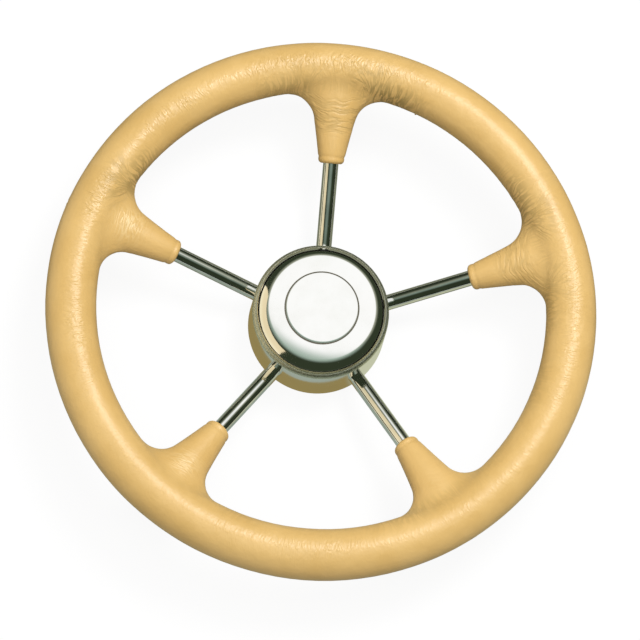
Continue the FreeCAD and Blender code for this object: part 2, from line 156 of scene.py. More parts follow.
grip = {
    "rimSteps": 100,     # columns round the cage
    "tubeSteps": 12,
    "branchColumns": 3,  # columns each side of a spoke that grow into the branch
    "branchRows": 62.0,  # degrees of the tube each side of its inner line
    "rings": [           # radius from the wheel's axis, half width, half height, lean
        (0.1360, 0.0190, 0.0128, 0.3),
        (0.1270, 0.0142, 0.0113, 1.0),
        (0.1180, 0.0124, 0.0105, 1.0),
        (0.1090, 0.0106, 0.0098, 1.0),
        (0.1003, 0.0092, 0.0090, 1.0),
    ],
    "levels": 3,
    "swell": 0.0012,     # the cage stands this far off before it is drawn on
    "smoothings": (6, 4, 1),
    "rodClear": 0.0056,  # size and depth of the hole round a rod, where points stay as they are
    "rodDepth": 0.004,
    "seamAngle": 218.0,  # seam on the inner back of the tube, from the outside over the top
}


def buildGripCage():
    # one fifth of the grip with its branch, then spun round the axis
    swell = grip["swell"]
    bpy.ops.mesh.primitive_torus_add(
        major_segments=grip["rimSteps"], minor_segments=grip["tubeSteps"],
        major_radius=wheel["rimRadius"], minor_radius=wheel["gripRadius"] + swell,
        location=(0, 0, wheel["rimHeight"]))
    cage = settle("gripLeather")
    column = 2 * math.pi / grip["rimSteps"]

    def outsideFifth(face):
        return abs(math.atan2(face.center.x, face.center.y)) > fifth / 2

    def onInside(face):
        turn = math.atan2(face.center.x, face.center.y)
        out = math.hypot(face.center.x, face.center.y) - wheel["rimRadius"]
        tube = math.degrees(math.atan2(face.center.z - wheel["rimHeight"], -out))
        return abs(turn) < grip["branchColumns"] * column and abs(tube) < grip["branchRows"]

    dropFaces(cage, outsideFifth)
    pickFaces(cage, onInside)
    for radius, halfWidth, halfHeight, lean in grip["rings"]:
        height = rodHeight(radius)
        bpy.ops.mesh.extrude_region_move(TRANSFORM_OT_translate={"value": (0, 0, 0)})
        switchTo("OBJECT")
        chosen = [v.co.copy() for v in cage.data.vertices if v.select]
        low = [min(c[k] for c in chosen) for k in range(3)]
        high = [max(c[k] for c in chosen) for k in range(3)]
        middle = Vector((low[k] + high[k]) / 2 for k in range(3))
        switchTo("EDIT")
        bpy.ops.transform.resize(
            value=(2 * (halfWidth + swell) / (high[0] - low[0]), 0.0,
                   2 * (halfHeight + swell) / (high[2] - low[2])),
            center_override=middle)
        bpy.ops.transform.translate(value=Vector((0, radius, height)) - middle)
        bpy.ops.transform.rotate(
            value=-lean * rodSlope, orient_axis="X", center_override=(0, radius, height))
    bpy.ops.mesh.select_all(action="SELECT")
    bpy.ops.mesh.spin(steps=wheel["spokes"] - 1, dupli=True, angle=2 * math.pi - fifth,
                      center=(0, 0, 0), axis=(0, 0, 1))
    bpy.ops.mesh.select_all(action="SELECT")
    bpy.ops.mesh.remove_doubles(threshold=1e-5)
    bpy.ops.mesh.normals_make_consistent(inside=False)
    switchTo("OBJECT")
    return cage


def readPlaces(points):
    # where every point of the grip lies: along the rim, round its tube, and along its branch
    turn = np.arctan2(points[:, 1], points[:, 0])
    out = np.hypot(points[:, 0], points[:, 1]) - wheel["rimRadius"]
    up = points[:, 2] - wheel["rimHeight"]
    branch = np.round((turn - spokeTurns[0]) / fifth).astype(int) % wheel["spokes"]
    aim = np.array(spokeTurns)[branch]
    outward = np.cos(aim) * points[:, 0] + np.sin(aim) * points[:, 1]
    side = -np.sin(aim) * points[:, 0] + np.cos(aim) * points[:, 1]
    reach, lift = outward - wheel["branchStart"], points[:, 2] - rodHeight(wheel["branchStart"])
    along = reach * math.cos(rodSlope) + lift * math.sin(rodSlope)
    above = lift * math.cos(rodSlope) - reach * math.sin(rodSlope)
    return {
        "turn": turn, "spokeTurn": (turn - spokeTurns[0] + fifth / 2) % fifth - fifth / 2,
        "branch": branch, "aim": aim,
        "tube": np.arctan2(up, out) % (2 * math.pi), "offTube": np.hypot(out, up),
        "outward": outward, "side": side, "along": along, "above": above,
        "rodGap": np.hypot(side, above)}


def drawOn(piece):
    # subdivides the cage and draws it on to the grip's form, then evens the mesh out
    skin = piece.modifiers.new("round", "SUBSURF")
    skin.levels = skin.render_levels = grip["levels"]
    applyAll(piece)
    places = readPlaces(readPoints(piece))
    inRod = (places["rodGap"] < grip["rodClear"]) & (places["along"] < grip["rodDepth"])
    group = piece.vertex_groups.new(name="skin")
    group.add([int(i) for i in np.nonzero(~inRod)[0]], 1.0, "REPLACE")
    for repeat in grip["smoothings"]:
        pickFaces(piece, lambda face: True)
        bpy.ops.mesh.vertices_smooth(factor=0.5, repeat=repeat)
        switchTo("OBJECT")
        wrap = piece.modifiers.new("drawOn", "SHRINKWRAP")
        wrap.target = nodes["leather_cover"]
        wrap.wrap_method = "NEAREST_SURFACEPOINT"
        wrap.vertex_group = "skin"
        applyAll(piece)


# folds, creases and hems of the leather; bands are in millimetres, where nothing else is said
folds = {
    # how strongly each branch is folded: at its left hollow, at its right one, and across
    "strength": [(0.6, 1.0, 1.0), (0.15, 0.9, 0.2), (0.1, 0.1, 0.1), (0.15, 0.15, 0.1), (0.7, 0.5, 0.85)],
    "cornerSide": 0.0240,      # hollow of a branch: sideways, and out from the wheel's axis
    "cornerOut": 0.1385,
    "gather": 0.00018,         # depth of the gathers on the inside of the rim
    "gatherBand": (15, 26, 40, 68),  # along the rim, from the spoke
    "gatherSize": (5.4, 5.4, 24.0),  # in millimetres, the lines' width is a share of it
    "gatherWidth": 0.42,
    "fan": 0.00011,            # depth of the folds that spread from each hollow
    "fanBand": (2.5, 8, 14, 28),  # out from the hollow
    "fanRays": (25, 60, 140, 172),  # round the hollow, in degrees
    "fanSize": (1.6, 2.0, 1.0),  # in steps of 9 degrees round the hollow and 16 mm out
    "fanWidth": 0.35,
    "cross": 0.00016,          # depth of the creases over a branch
    "crossBand": (15, 24, 35, 47),  # along the branch, from its end
    "crossSize": (13.0, 4.4, 30.0),
    "crossWidth": 0.40,
    "crossBow": 0.016,         # they bow towards the hub
    # fine strokes over the top of the tube, by compass turn round the wheel
    "strokes": [(0, 0.55), (28, 0.55), (42, 0.12), (64, 0.12), (76, 1.0), (172, 1.0), (195, 0.6),
                (212, 0.15), (238, 0.2), (255, 0.5), (290, 0.5), (330, 0.25)],
    "strokeTube": 96,          # middle and spread of the strokes round the tube, in degrees
    "strokeSpread": 30,
    "glintStrokes": [0.2, 0.85, 0.5, 0.1, 0.1],  # fine strokes at the root of each branch
    "glintStrokeOut": 0.1335,
    "glintStrokeSide": -0.0015,
    "glintStrokeSpread": 0.0085,
    "hemDepth": 0.00034,       # groove of the hem, at this place from the end
    "hemPlace": 0.0043,
    "hemWidth": 0.00080,
    "rollRise": 0.00007,       # the rolled end of a branch swells by this much
    "rollPlace": 0.0022,
    "rollWidth": 0.0010,
    "endLength": 0.0022,       # its outer corner is rounded over this length, by this drop
    "endDrop": 0.0014,
    "turnIn": 0.0016,          # and the leather turns in towards the rod
    "seamRadius": 0.1465,
    "seamSwing": 42,           # the seam swings back behind a branch, within this turn of it, in degrees
    "seamReach": 12.5,
    "seamDepth": 0.00050,
    "seamWidth": 0.0006,
    "edgeRise": 0.00022,       # raised edges of the groove, puckered at each stitch
    "edgePlace": 0.0017,
    "edgeWidth": 0.0009,
    "pucker": 0.00016,
    "stitchStep": 0.0050,
    "lumps": ((0.00013, 0.040, 16), (0.00007, 0.017, 17)),  # height, size and seed
}


def valleys(points, size, seed, width):
    # 1 along thin winding lines, 0 between them
    return 1 - fade(np.abs(softNoise(points / np.array(size), seed)), 0, width)


def seamTube(spokeTurn):
    # the seam runs on the inner back of the tube and swings further back behind a branch
    swing = math.radians(folds["seamSwing"]) * bell(spokeTurn, math.radians(folds["seamReach"]))
    return math.radians(grip["seamAngle"]) + swing


def readWays(places):
    # millimetres along the rim and round its tube, and along and across a branch
    fromSeam = (places["tube"] - math.radians(grip["seamAngle"])) % (2 * math.pi)
    rimWay = np.stack([
        wheel["rimRadius"] * np.cos(places["turn"]),
        wheel["rimRadius"] * np.sin(places["turn"]),
        wheel["gripRadius"] * fromSeam], axis=1) * 1000
    branchWay = np.stack([places["side"], places["along"], places["above"]], axis=1) * 1000
    branchWay[:, 1] -= folds["crossBow"] * branchWay[:, 0] ** 2
    return rimWay, branchWay


def gatherInside(places, rimWay, strength, offBranch):
    # gathers across the inside of the tube, most of them beside the hollows
    patch = fade(softNoise(rimWay / 46, 4), -0.1, 0.5)
    nearHollow = band(np.abs(places["spokeTurn"]) * wheel["rimRadius"] * 1000, folds["gatherBand"])
    sideStrength = np.where(places["side"] > 0, strength[:, 0], strength[:, 1])
    inner = fade(-np.cos(places["tube"]), 0.15, 0.95)
    share = (0.20 * patch + 0.85 * nearHollow * sideStrength) * inner * offBranch
    bend = 0.5 * softNoise(rimWay / 21, 6)[:, None] * np.array(folds["gatherSize"])
    return valleys(rimWay + bend, folds["gatherSize"], 7, folds["gatherWidth"]) * share, share


def fanOut(places, rimWay, strength, shift):
    # folds that spread from the two hollows of each branch
    count = len(places["turn"])
    fan, fanShare, fanWay = np.zeros(count), np.zeros(count), np.zeros((count, 3))
    for hand, column in ((1, 0), (-1, 1)):
        across = hand * places["side"] - folds["cornerSide"]
        out = places["outward"] - folds["cornerOut"]
        reach = np.hypot(across, out) * 1000
        ray = np.degrees(np.arctan2(out, across))
        share = band(reach, folds["fanBand"]) * strength[:, column] * band(ray, folds["fanRays"])
        bent = ray / 9.0 + 0.45 * softNoise(rimWay / 8, 11)
        way = np.stack([bent, reach / 16, np.full(count, hand * 9.3)], axis=1) + shift
        fan = np.maximum(fan, valleys(way, folds["fanSize"], 12, folds["fanWidth"]) * share)
        nearer = share > fanShare
        fanWay[nearer] = way[nearer]
        fanShare = np.maximum(fanShare, share)
    return fan, fanShare, fanWay


def creaseBranch(places, branchWay, strength, shift):
    # creases across the branch
    share = band(branchWay[:, 1], folds["crossBand"]) * strength[:, 2]
    share *= fade(places["offTube"], 0.0150, 0.0175)
    bend = 0.35 * softNoise(branchWay / 6, 13)[:, None]
    way = branchWay + (shift + bend) * np.array(folds["crossSize"])
    return valleys(way, folds["crossSize"], 14, folds["crossWidth"]) * share, share


def glintStrokeShares(places):
    # fine strokes at the root of a branch, on the side that faces the driver; the material paints them
    # paler as painted glints
    off = np.hypot(places["outward"] - folds["glintStrokeOut"], places["side"] - folds["glintStrokeSide"])
    share = np.array(folds["glintStrokes"])[places["branch"]] * (places["above"] > 0)
    return bell(off, folds["glintStrokeSpread"]) * share


def seamLines(places):
    # the groove of the seam, its raised edges and its puckers
    tube, spokeTurn, along = places["tube"], places["spokeTurn"], places["along"]
    onRim = (places["offTube"] < 0.0185) & (tube > math.pi)
    rimGap = np.where(onRim, wheel["gripRadius"] * (tube - seamTube(spokeTurn)), 1.0)
    behind = (places["above"] < -0.002) & (tube < seamTube(spokeTurn))
    behind &= (np.abs(spokeTurn) < 0.4) & (along > 0.0012)
    branchGap = np.where(behind, places["side"], 1.0)
    useBranch = np.abs(branchGap) < np.abs(rimGap)
    gap = np.abs(np.where(useBranch, branchGap, rimGap))
    run = np.where(useBranch, along, folds["seamRadius"] * spokeTurn)
    edges = bell(gap - folds["edgePlace"], folds["edgeWidth"])
    return bell(gap, folds["seamWidth"]), edges, edges * np.cos(math.pi * run / folds["stitchStep"]) ** 2


def roundEnds(points, places, atEnd):
    # rounds the end of a branch, and turns it in towards the rod
    aim, along, rodGap = places["aim"], places["along"], places["rodGap"]
    level = np.ones(len(aim))
    slopeCos, slopeSin = math.cos(rodSlope), math.sin(rodSlope)
    rodWay = np.stack([np.cos(aim) * slopeCos, np.sin(aim) * slopeCos, level * slopeSin], axis=1)
    sideWay = np.stack([-np.sin(aim), np.cos(aim), 0 * level], axis=1)
    topWay = np.stack([-np.cos(aim) * slopeSin, -np.sin(aim) * slopeSin, level * slopeCos], axis=1)
    nearEnd = np.clip((folds["endLength"] - along) / folds["endLength"], 0, 1) * atEnd
    drop = folds["endDrop"] * (1 - np.sqrt(1 - nearEnd ** 2)) * fade(rodGap, 0.0058, 0.0082)
    drop /= np.maximum(rodGap, 1e-6)
    turnIn = (1 - fade(rodGap, 0.0050, 0.0067)) * (along < 0.003) * folds["turnIn"]
    inward = sideWay * (drop * places["side"])[:, None] + topWay * (drop * places["above"])[:, None]
    return points - inward + rodWay * turnIn[:, None]


def foldGrip(piece):
    points = readPoints(piece)
    places = readPlaces(points)
    along, rodGap = places["along"], places["rodGap"]
    strength = np.array(folds["strength"])[places["branch"]]
    shift = places["branch"][:, None] * np.array([3.7, 11.3, 5.9])  # so that no two branches are alike
    onBranch = fade(places["offTube"], 0.0165, 0.0235)
    rimWay, branchWay = readWays(places)
    gathers, gatherShare = gatherInside(places, rimWay, strength, 1 - onBranch)
    fan, fanShare, fanWay = fanOut(places, rimWay, strength, shift)
    cross, crossShare = creaseBranch(places, branchWay, strength, shift)
    groove, edges, pucker = seamLines(places)
    crown = bell(np.degrees(places["tube"]) - folds["strokeTube"], folds["strokeSpread"]) * (1 - onBranch)
    crown *= np.interp(np.degrees(places["turn"]), *zip(*folds["strokes"]), period=360)

    # hem and its groove, a little uneven
    atEnd = places["outward"] < 0.115
    uneven = softNoise(branchWay / 5 + shift, 15) * 0.0003
    hem = bell(along - folds["hemPlace"] - uneven, folds["hemWidth"]) * atEnd
    roll = bell(along - folds["rollPlace"], folds["rollWidth"]) * atEnd * (rodGap > 0.0066)

    move = sum(rise * softNoise(points / size, seed) for rise, size, seed in folds["lumps"])
    move -= folds["gather"] * gathers + folds["fan"] * fan + folds["cross"] * cross
    move += folds["rollRise"] * roll - folds["hemDepth"] * hem
    move += folds["edgeRise"] * edges - folds["pucker"] * pucker - folds["seamDepth"] * groove
    move *= np.where(along < grip["rodDepth"], fade(rodGap, 0.0050, 0.0068), 1)
    points = points + readPoints(piece, "normal") * move[:, None]
    writePoints(piece, roundEnds(points, places, atEnd))

    # what the leather's material reads
    # folded: how much painted shade the material puts in folds, gathers, creases, the hem and the seam's
    # groove
    folded = np.clip(0.2 * fan + 0.4 * gathers + 0.25 * cross + 0.35 * hem + groove, 0, 1)
    keepAttribute(piece, "rimWay", rimWay)
    keepAttribute(piece, "branchWay", branchWay + 10 * shift)
    keepAttribute(piece, "fanWay", fanWay)
    keepAttribute(piece, "shares", np.stack([crown, fanShare, gatherShare], axis=1))
    keepAttribute(piece, "branchShares", np.stack([crossShare, glintStrokeShares(places), folded], axis=1))


leather = buildGripCage()
print("grip cage:", len(leather.data.polygons), "faces")
drawOn(leather)
print("grip drawn on:", len(leather.data.polygons), "faces")
foldGrip(leather)
activate(leather)
bpy.ops.object.shade_smooth()
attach(leather, "wheel")
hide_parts("leather_cover")
print("grip folded and hemmed")


# the seam's thread, on the side that faces away: one stitch, copied along the groove
thread = {
    "radius": 0.00036,
    "reach": 0.0024,  # half its length, over the groove
    "rise": 0.00034,
    "sink": 0.00060,
    "slant": 24.0,    # degrees off the line across the seam
    "sides": 6,
    "cuts": 5,
    "branchStitches": 8,
    "offRim": 0.018,  # a point just outside the skin, from the tube's middle and the rod's
    "offRod": 0.013,
    "dark": (0.48, 0.33, 0.13, 1),
    "light": (0.72, 0.55, 0.27, 1),
}


def buildStitch():
    # a thin rod along x, arched so that both ends go into the leather
    bpy.ops.mesh.primitive_cylinder_add(
        vertices=thread["sides"], radius=thread["radius"], depth=2 * thread["reach"],
        location=(0, 0, 0), rotation=(0, math.pi / 2, 0))
    stitch = settle("stitch")
    switchTo("EDIT")
    bpy.ops.mesh.select_mode(type="EDGE")
    bpy.ops.mesh.select_all(action="DESELECT")
    switchTo("OBJECT")
    spots = readPoints(stitch)
    for edge in stitch.data.edges:
        first, second = edge.vertices
        edge.select = abs(spots[first][0] - spots[second][0]) > thread["reach"]
    switchTo("EDIT")
    bpy.ops.mesh.subdivide(number_cuts=thread["cuts"])
    switchTo("OBJECT")
    spots = readPoints(stitch)
    spots[:, 2] += thread["rise"] - (thread["rise"] + thread["sink"]) * (spots[:, 0] / thread["reach"]) ** 2
    writePoints(stitch, spots)
    bpy.ops.object.shade_smooth()
    return stitch


def seamSpots():
    # a point near the seam and the way that the seam runs there, for every stitch
    step, seamRadius = folds["stitchStep"], folds["seamRadius"]
    count = int(fifth / 2 * seamRadius / step)
    spots = []
    for aim in spokeTurns:
        out, aside = Vector((math.cos(aim), math.sin(aim), 0)), Vector((-math.sin(aim), math.cos(aim), 0))
        for i in range(-count, count + 1):
            spokeTurn = i * step / seamRadius
            tube = float(seamTube(spokeTurn))
            ray = out * math.cos(spokeTurn) + aside * math.sin(spokeTurn)
            run = aside * math.cos(spokeTurn) - out * math.sin(spokeTurn)
            middle = ray * wheel["rimRadius"] + Vector((0, 0, wheel["rimHeight"]))
            outside = ray * math.cos(tube) + Vector((0, 0, math.sin(tube)))
            spots.append((middle + outside * thread["offRim"], run))
        run = out * math.cos(rodSlope) + Vector((0, 0, math.sin(rodSlope)))
        under = out * math.sin(rodSlope) - Vector((0, 0, math.cos(rodSlope)))
        start = out * wheel["branchStart"] + Vector((0, 0, rodHeight(wheel["branchStart"])))
        for i in range(1, thread["branchStitches"] + 1):
            spots.append((start + run * (i * step) + under * thread["offRod"], run))
    return spots


def sewSeam(skin):
    stitch = buildStitch()
    bpy.context.view_layer.update()
    slant = math.radians(thread["slant"])
    copies = []
    for spot, run in seamSpots():
        place, normal = skin.closest_point_on_mesh(spot)[1:3]
        across = run.cross(normal).normalized()
        lengthways = normal.cross(across)
        along = across * math.cos(slant) + lengthways * math.sin(slant)
        sideways = normal.cross(along)
        activate(stitch)
        bpy.ops.object.duplicate(linked=False)
        copy = bpy.context.object
        copy.matrix_world = Matrix((along, sideways, normal)).transposed().to_4x4()
        copy.location = place
        copies.append(copy)
    activate(stitch)
    bpy.ops.object.delete()
    activate(copies[0])
    for copy in copies:
        copy.select_set(True)
    bpy.ops.object.join()
    return settle("seamThread"), len(copies)


seamThread, stitchCount = sewSeam(leather)
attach(seamThread, "wheel")
print("seam sewn:", stitchCount, "stitches,", len(seamThread.data.polygons), "faces")


# cap and disc, turned: a shallow dome with a tight edge, and a low bevelled disc in its seat
cap = {
    "turns": 192,      # columns round the axis
    "seat": 0.0236,
    "seatFloor": 0.05187,
    "seatEdge": 0.05246,
    "dome": 0.200,     # radius of the dome
    "edge": 0.0412,
    "edgeRound": 0.0125,
    "edgeLean": 50.0,  # slope at which the rounding meets the brim, in degrees
    "brimRound": 0.0005,
    "seam": 0.0443,
    "skirt": [(0.0387, 0.0443), (0.0387, 0.0413), (0.03635, 0.0413), (0.03635, 0.0383),
              (0.0387, 0.0383), (0.0387, 0.0353), (0.0351, 0.0353), (0.0351, 0.0472), (0.0336, 0.0481)],
    "ceiling": 0.05094,
    "discRadius": 0.0232,
    "discFlat": 0.0214,
    "discTop": 0.05335,
    "discBevel": 5.0,  # slope of the bevel, in degrees
    "discRound": 0.00022,
}


def turnPiece(name, profile):
    # a circle extruded from ring to ring along the profile, closed at both ends
    radius, height = profile[0]
    bpy.ops.mesh.primitive_circle_add(
        vertices=cap["turns"], radius=radius, fill_type="NGON", location=(0, 0, height))
    piece = settle(name)
    switchTo("EDIT")
    bpy.ops.mesh.select_mode(type="EDGE")
    bpy.ops.mesh.select_all(action="SELECT")
    bpy.ops.mesh.region_to_loop()
    for nextRadius, nextHeight in profile[1:]:
        bpy.ops.mesh.extrude_edges_move(TRANSFORM_OT_translate={"value": (0, 0, nextHeight - height)})
        share = nextRadius / radius
        bpy.ops.transform.resize(value=(share, share, 1), center_override=(0, 0, nextHeight))
        radius, height = nextRadius, nextHeight
    bpy.ops.mesh.edge_face_add()
    bpy.ops.mesh.select_all(action="SELECT")
    bpy.ops.mesh.normals_make_consistent(inside=False)
    switchTo("OBJECT")
    bpy.ops.object.shade_smooth_by_angle(angle=math.radians(35))
    return piece


def domeDrop(radius):
    return cap["dome"] - math.sqrt(cap["dome"] ** 2 - radius ** 2)


def buildCap():
    rounding, lean = cap["edgeRound"], math.radians(cap["edgeLean"])
    brim = cap["brimRound"]
    middle = cap["edge"] - brim - (rounding - brim) * math.sin(lean)
    meeting = middle / (1 - rounding / cap["dome"])     # radius at which dome and rounding meet
    slope = math.asin(meeting / cap["dome"])
    peak = cap["seatEdge"] + domeDrop(cap["seat"])
    centre = peak - domeDrop(meeting) - rounding * math.cos(slope)
    profile = [(cap["seat"], cap["seatFloor"]), (cap["seat"], cap["seatEdge"] - 0.00012)]
    domeSteps, edgeSteps, brimSteps, ceilingSteps = 14, 22, 6, 8
    for i in range(domeSteps):
        radius = cap["seat"] + 0.00012 + (meeting - cap["seat"]) * i / domeSteps
        profile.append((radius, peak - domeDrop(radius)))
    for i in range(edgeSteps + 1):
        turn = slope + (lean - slope) * i / edgeSteps
        profile.append((middle + rounding * math.sin(turn), centre + rounding * math.cos(turn)))
    brimCentre = centre + (rounding - brim) * math.cos(lean)
    for i in range(1, brimSteps + 1):
        turn = lean + (math.pi / 2 - lean) * i / brimSteps
        profile.append((cap["edge"] - brim + brim * math.sin(turn), brimCentre + brim * math.cos(turn)))
    profile += [(cap["edge"], cap["seam"] + 0.00015), (cap["edge"] - 0.00015, cap["seam"])]
    profile += cap["skirt"]
    lastRadius, lastHeight = cap["skirt"][-1]
    for i in range(1, ceilingSteps):
        share = 1 - i / ceilingSteps
        profile.append((lastRadius * share, cap["ceiling"] - (cap["ceiling"] - lastHeight) * share ** 2))
    return turnPiece("capTop", profile)


def buildDisc():
    fall = math.tan(math.radians(cap["discBevel"]))
    flat, outside, soft = cap["discFlat"], cap["discRadius"], cap["discRound"]
    flatEdge = cap["discTop"] - domeDrop(flat) * 0.4
    bevelEnd = flatEdge - (outside - soft - flat) * fall
    profile = [(0.0005, cap["discTop"])]
    for i in range(1, 11):
        radius = flat * i / 10
        profile.append((radius, cap["discTop"] - domeDrop(radius) * 0.4))
    profile += [(flat + 0.0002, flatEdge - 0.0002 * fall), (outside - soft, bevelEnd),
                (outside - soft * 0.3, bevelEnd - soft * 0.35), (outside, bevelEnd - soft),
                (outside, cap["seatFloor"] + 0.00005), (0.001, cap["seatFloor"] + 0.00005)]
    return turnPiece("blankDisc", profile)


capTop = buildCap()
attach(capTop, "cap")
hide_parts("hub_cap")
blankDisc = buildDisc()
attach(blankDisc, "cap")
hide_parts("cap_disc")
print("cap and disc turned:", len(capTop.data.polygons) + len(blankDisc.data.polygons), "faces")


def add(tree, kind, values=None, **settings):
    node = tree.nodes.new("ShaderNode" + kind)
    for name, value in settings.items():
        setattr(node, name, value)
    for socket, value in (values or {}).items():
        if isinstance(value, bpy.types.NodeSocket):
            tree.links.new(value, node.inputs[socket])
        else:
            node.inputs[socket].default_value = value
    return node


def newMaterial(name):
    material = bpy.data.materials.new(name)
    material.use_nodes = True
    tree = material.node_tree
    place = add(tree, "TexCoord").outputs["Object"]
    return material, tree, tree.nodes["Principled BSDF"], place


def bareMaterial(name):
    material = bpy.data.materials.new(name)
    material.use_nodes = True
    material.node_tree.nodes.clear()
    return material, material.node_tree


def sums(tree, kind, first, second=0.5, third=0.5):
    return add(tree, "Math", {0: first, 1: second, 2: third}, operation=kind).outputs[0]


def spread(tree, value, low, high, newLow=0.0, newHigh=1.0):
    node = add(tree, "MapRange", {
        "Value": value, "From Min": low, "From Max": high, "To Min": newLow, "To Max": newHigh},
        interpolation_type="SMOOTHSTEP")
    return node.outputs["Result"]


def splitUp(tree, vector):
    return add(tree, "SeparateXYZ", {0: vector}).outputs


def stretched(tree, vector, stretch):
    return add(tree, "VectorMath", {0: vector, 1: stretch}, operation="MULTIPLY").outputs[0]


def noiseOn(tree, vector, scale, detail=2.0, roughness=0.5):
    node = add(tree, "TexNoise", {
        "Vector": vector, "Scale": scale, "Detail": detail, "Roughness": roughness})
    return node.outputs["Fac"]


def mixColours(tree, share, first, second):
    return add(tree, "Mix", {0: share, 6: first, 7: second}, data_type="RGBA").outputs[2]


def towardsSide(tree, way, side):
    # 1 where a direction points straight to that side, and -1 where it points away
    return add(tree, "VectorMath", {0: way, 1: side}, operation="DOT_PRODUCT").outputs["Value"]


def fromAxis(tree, place):
    # the flat way out from the wheel's axis, and its length
    flat = stretched(tree, place, (1.0, 1.0, 0.0))
    return flat, add(tree, "VectorMath", {0: flat}, operation="LENGTH").outputs["Value"]


def connect(tree, shader, colour, rough, bump, metallic=0.0):
    tree.links.new(colour, shader.inputs["Base Color"])
    tree.links.new(rough, shader.inputs["Roughness"])
    tree.links.new(bump.outputs[0], shader.inputs["Normal"])
    shader.inputs["Metallic"].default_value = metallic


leatherLook = {
    "tan": (0.742, 0.485, 0.170, 1),
    "tanDeep": (0.692, 0.441, 0.142, 1),
    "creaseShade": (0.27, 0.190, 0.050, 1),
    "strokeGlint": (0.95, 0.76, 0.42, 1),
    "grainSize": 900.0,  # pebbles to the metre
    "roughness": 0.40,
    "specular": 0.62,
    "wrinkleDepth": 0.00022,
    "grainDepth": 0.00004,
    # stretch, detail and width of each kind of line
    "strokes": ((0.44, 0.44, 0.15), 1.5, 0.22),
    "gathers": ((0.36, 0.36, 0.045), 1.0, 0.17),
    "fans": ((0.95, 1.1, 1.0), 1.0, 0.13),
    "creases": ((0.065, 0.34, 0.05), 1.5, 0.15),
    "glintStrokes": ((0.12, 0.48, 0.12), 0.5, 0.13),
}


def makeLeather():
    material, tree, shader, place = newMaterial("tanLeather")
    ways = {}
    for name in ("rimWay", "branchWay", "fanWay", "shares", "branchShares"):
        node = add(tree, "Attribute", attribute_name=name, attribute_type="GEOMETRY")
        ways[name] = node.outputs["Vector"]
    crown, fanShare, gatherShare = splitUp(tree, ways["shares"])
    crossShare, glintStrokeShare, folded = splitUp(tree, ways["branchShares"])
    # each set of lines is bent by a slower noise, so that none runs straight
    bend = add(tree, "TexNoise", {"Vector": ways["rimWay"], "Scale": 0.06, "Detail": 1.0})
    bend = stretched(tree, bend.outputs["Color"], (9.0, 9.0, 9.0))
    bentRim, bentBranch = (add(tree, "VectorMath", {0: ways[name], 1: bend}, operation="ADD").outputs[0]
                           for name in ("rimWay", "branchWay"))
    patches = spread(tree, noiseOn(tree, place, 22.0), 0.38, 0.60)

    def linesOn(vector, kind, share):
        # their share along thin winding lines, and 0 between them
        stretch, detail, width = leatherLook[kind]
        noise = noiseOn(tree, stretched(tree, vector, stretch), 1.0, detail)
        off = sums(tree, "ABSOLUTE", sums(tree, "SUBTRACT", noise, 0.5))
        return sums(tree, "MULTIPLY", spread(tree, off, 0.0, width, 1.0, 0.0), share)

    # fine strokes over the top of the tube, and fainter ones elsewhere
    strokeShare = sums(tree, "MULTIPLY_ADD", crown, 1.55, 0.06)
    strokeShare = sums(tree, "MULTIPLY", strokeShare, sums(tree, "MULTIPLY_ADD", patches, 0.65, 0.35))
    strokes = linesOn(bentRim, "strokes", strokeShare)
    # deeper gathers inside the rim, folds out of the hollows, creases across each branch
    gathers = linesOn(bentRim, "gathers", gatherShare)
    fans = linesOn(ways["fanWay"], "fans", fanShare)
    creases = linesOn(bentBranch, "creases", crossShare)
    glintStrokes = linesOn(bentBranch, "glintStrokes", glintStrokeShare)
    wrinkles = strokes
    for lines in (gathers, fans, creases, glintStrokes):
        wrinkles = sums(tree, "MAXIMUM", wrinkles, lines)
    swell = noiseOn(tree, ways["rimWay"], 0.16)
    deep = add(tree, "Bump", {
        "Height": sums(tree, "MULTIPLY_ADD", swell, 1.6, sums(tree, "MULTIPLY", wrinkles, -1.0)),
        "Strength": 1.0, "Distance": leatherLook["wrinkleDepth"]})
    # pebbled grain with finer pores in it
    pebble = add(tree, "TexVoronoi", {
        "Vector": place, "Scale": leatherLook["grainSize"], "Smoothness": 0.6}, feature="SMOOTH_F1")
    pores = noiseOn(tree, place, leatherLook["grainSize"] * 2.6, 3.0, 0.6)
    grain = sums(tree, "MULTIPLY_ADD", pores, 0.4, sums(tree, "MULTIPLY", pebble.outputs["Distance"], -1.0))
    bump = add(tree, "Bump", {
        "Height": grain, "Strength": 0.7, "Distance": leatherLook["grainDepth"], "Normal": deep.outputs[0]})
    # colour: mottled tan; painted shade in olive brown along folds, creases, gathers, strokes and grooves;
    # painted highlights, paler, along the strokes at each branch's root
    mottle = spread(tree, noiseOn(tree, place, 34.0, 3.0, 0.6), 0.3, 0.7)
    colour = mixColours(tree, mottle, leatherLook["tan"], leatherLook["tanDeep"])
    # painted shade: folds, gathers, fan folds, creases, strokes, the hem and the seam's groove turn olive
    # brown, for the shade in them
    dark = sums(tree, "MULTIPLY", spread(tree, folded, 0.12, 1.0), 0.45)
    for lines, depth in ((gathers, 0.75), (fans, 0.40), (creases, 0.26), (strokes, 0.09)):
        dark = sums(tree, "MAXIMUM", dark, sums(tree, "MULTIPLY", lines, depth))
    dark = sums(tree, "MINIMUM", dark, 0.85)
    colour = mixColours(tree, dark, colour, leatherLook["creaseShade"])
    # painted highlight: the strokes at a branch's root are painted paler, as glints
    colour = mixColours(tree, sums(tree, "MULTIPLY", glintStrokes, 0.6), colour, leatherLook["strokeGlint"])
    rough = sums(tree, "MULTIPLY_ADD", pores, 0.10, leatherLook["roughness"] - 0.05)
    rough = sums(tree, "MULTIPLY_ADD", dark, 0.20, rough)
    rough = sums(tree, "MULTIPLY_ADD", crown, -0.06, rough)     # handled leather shines where it is worn
    connect(tree, shader, colour, rough, bump)
    shader.inputs["Specular IOR Level"].default_value = leatherLook["specular"]
    return material


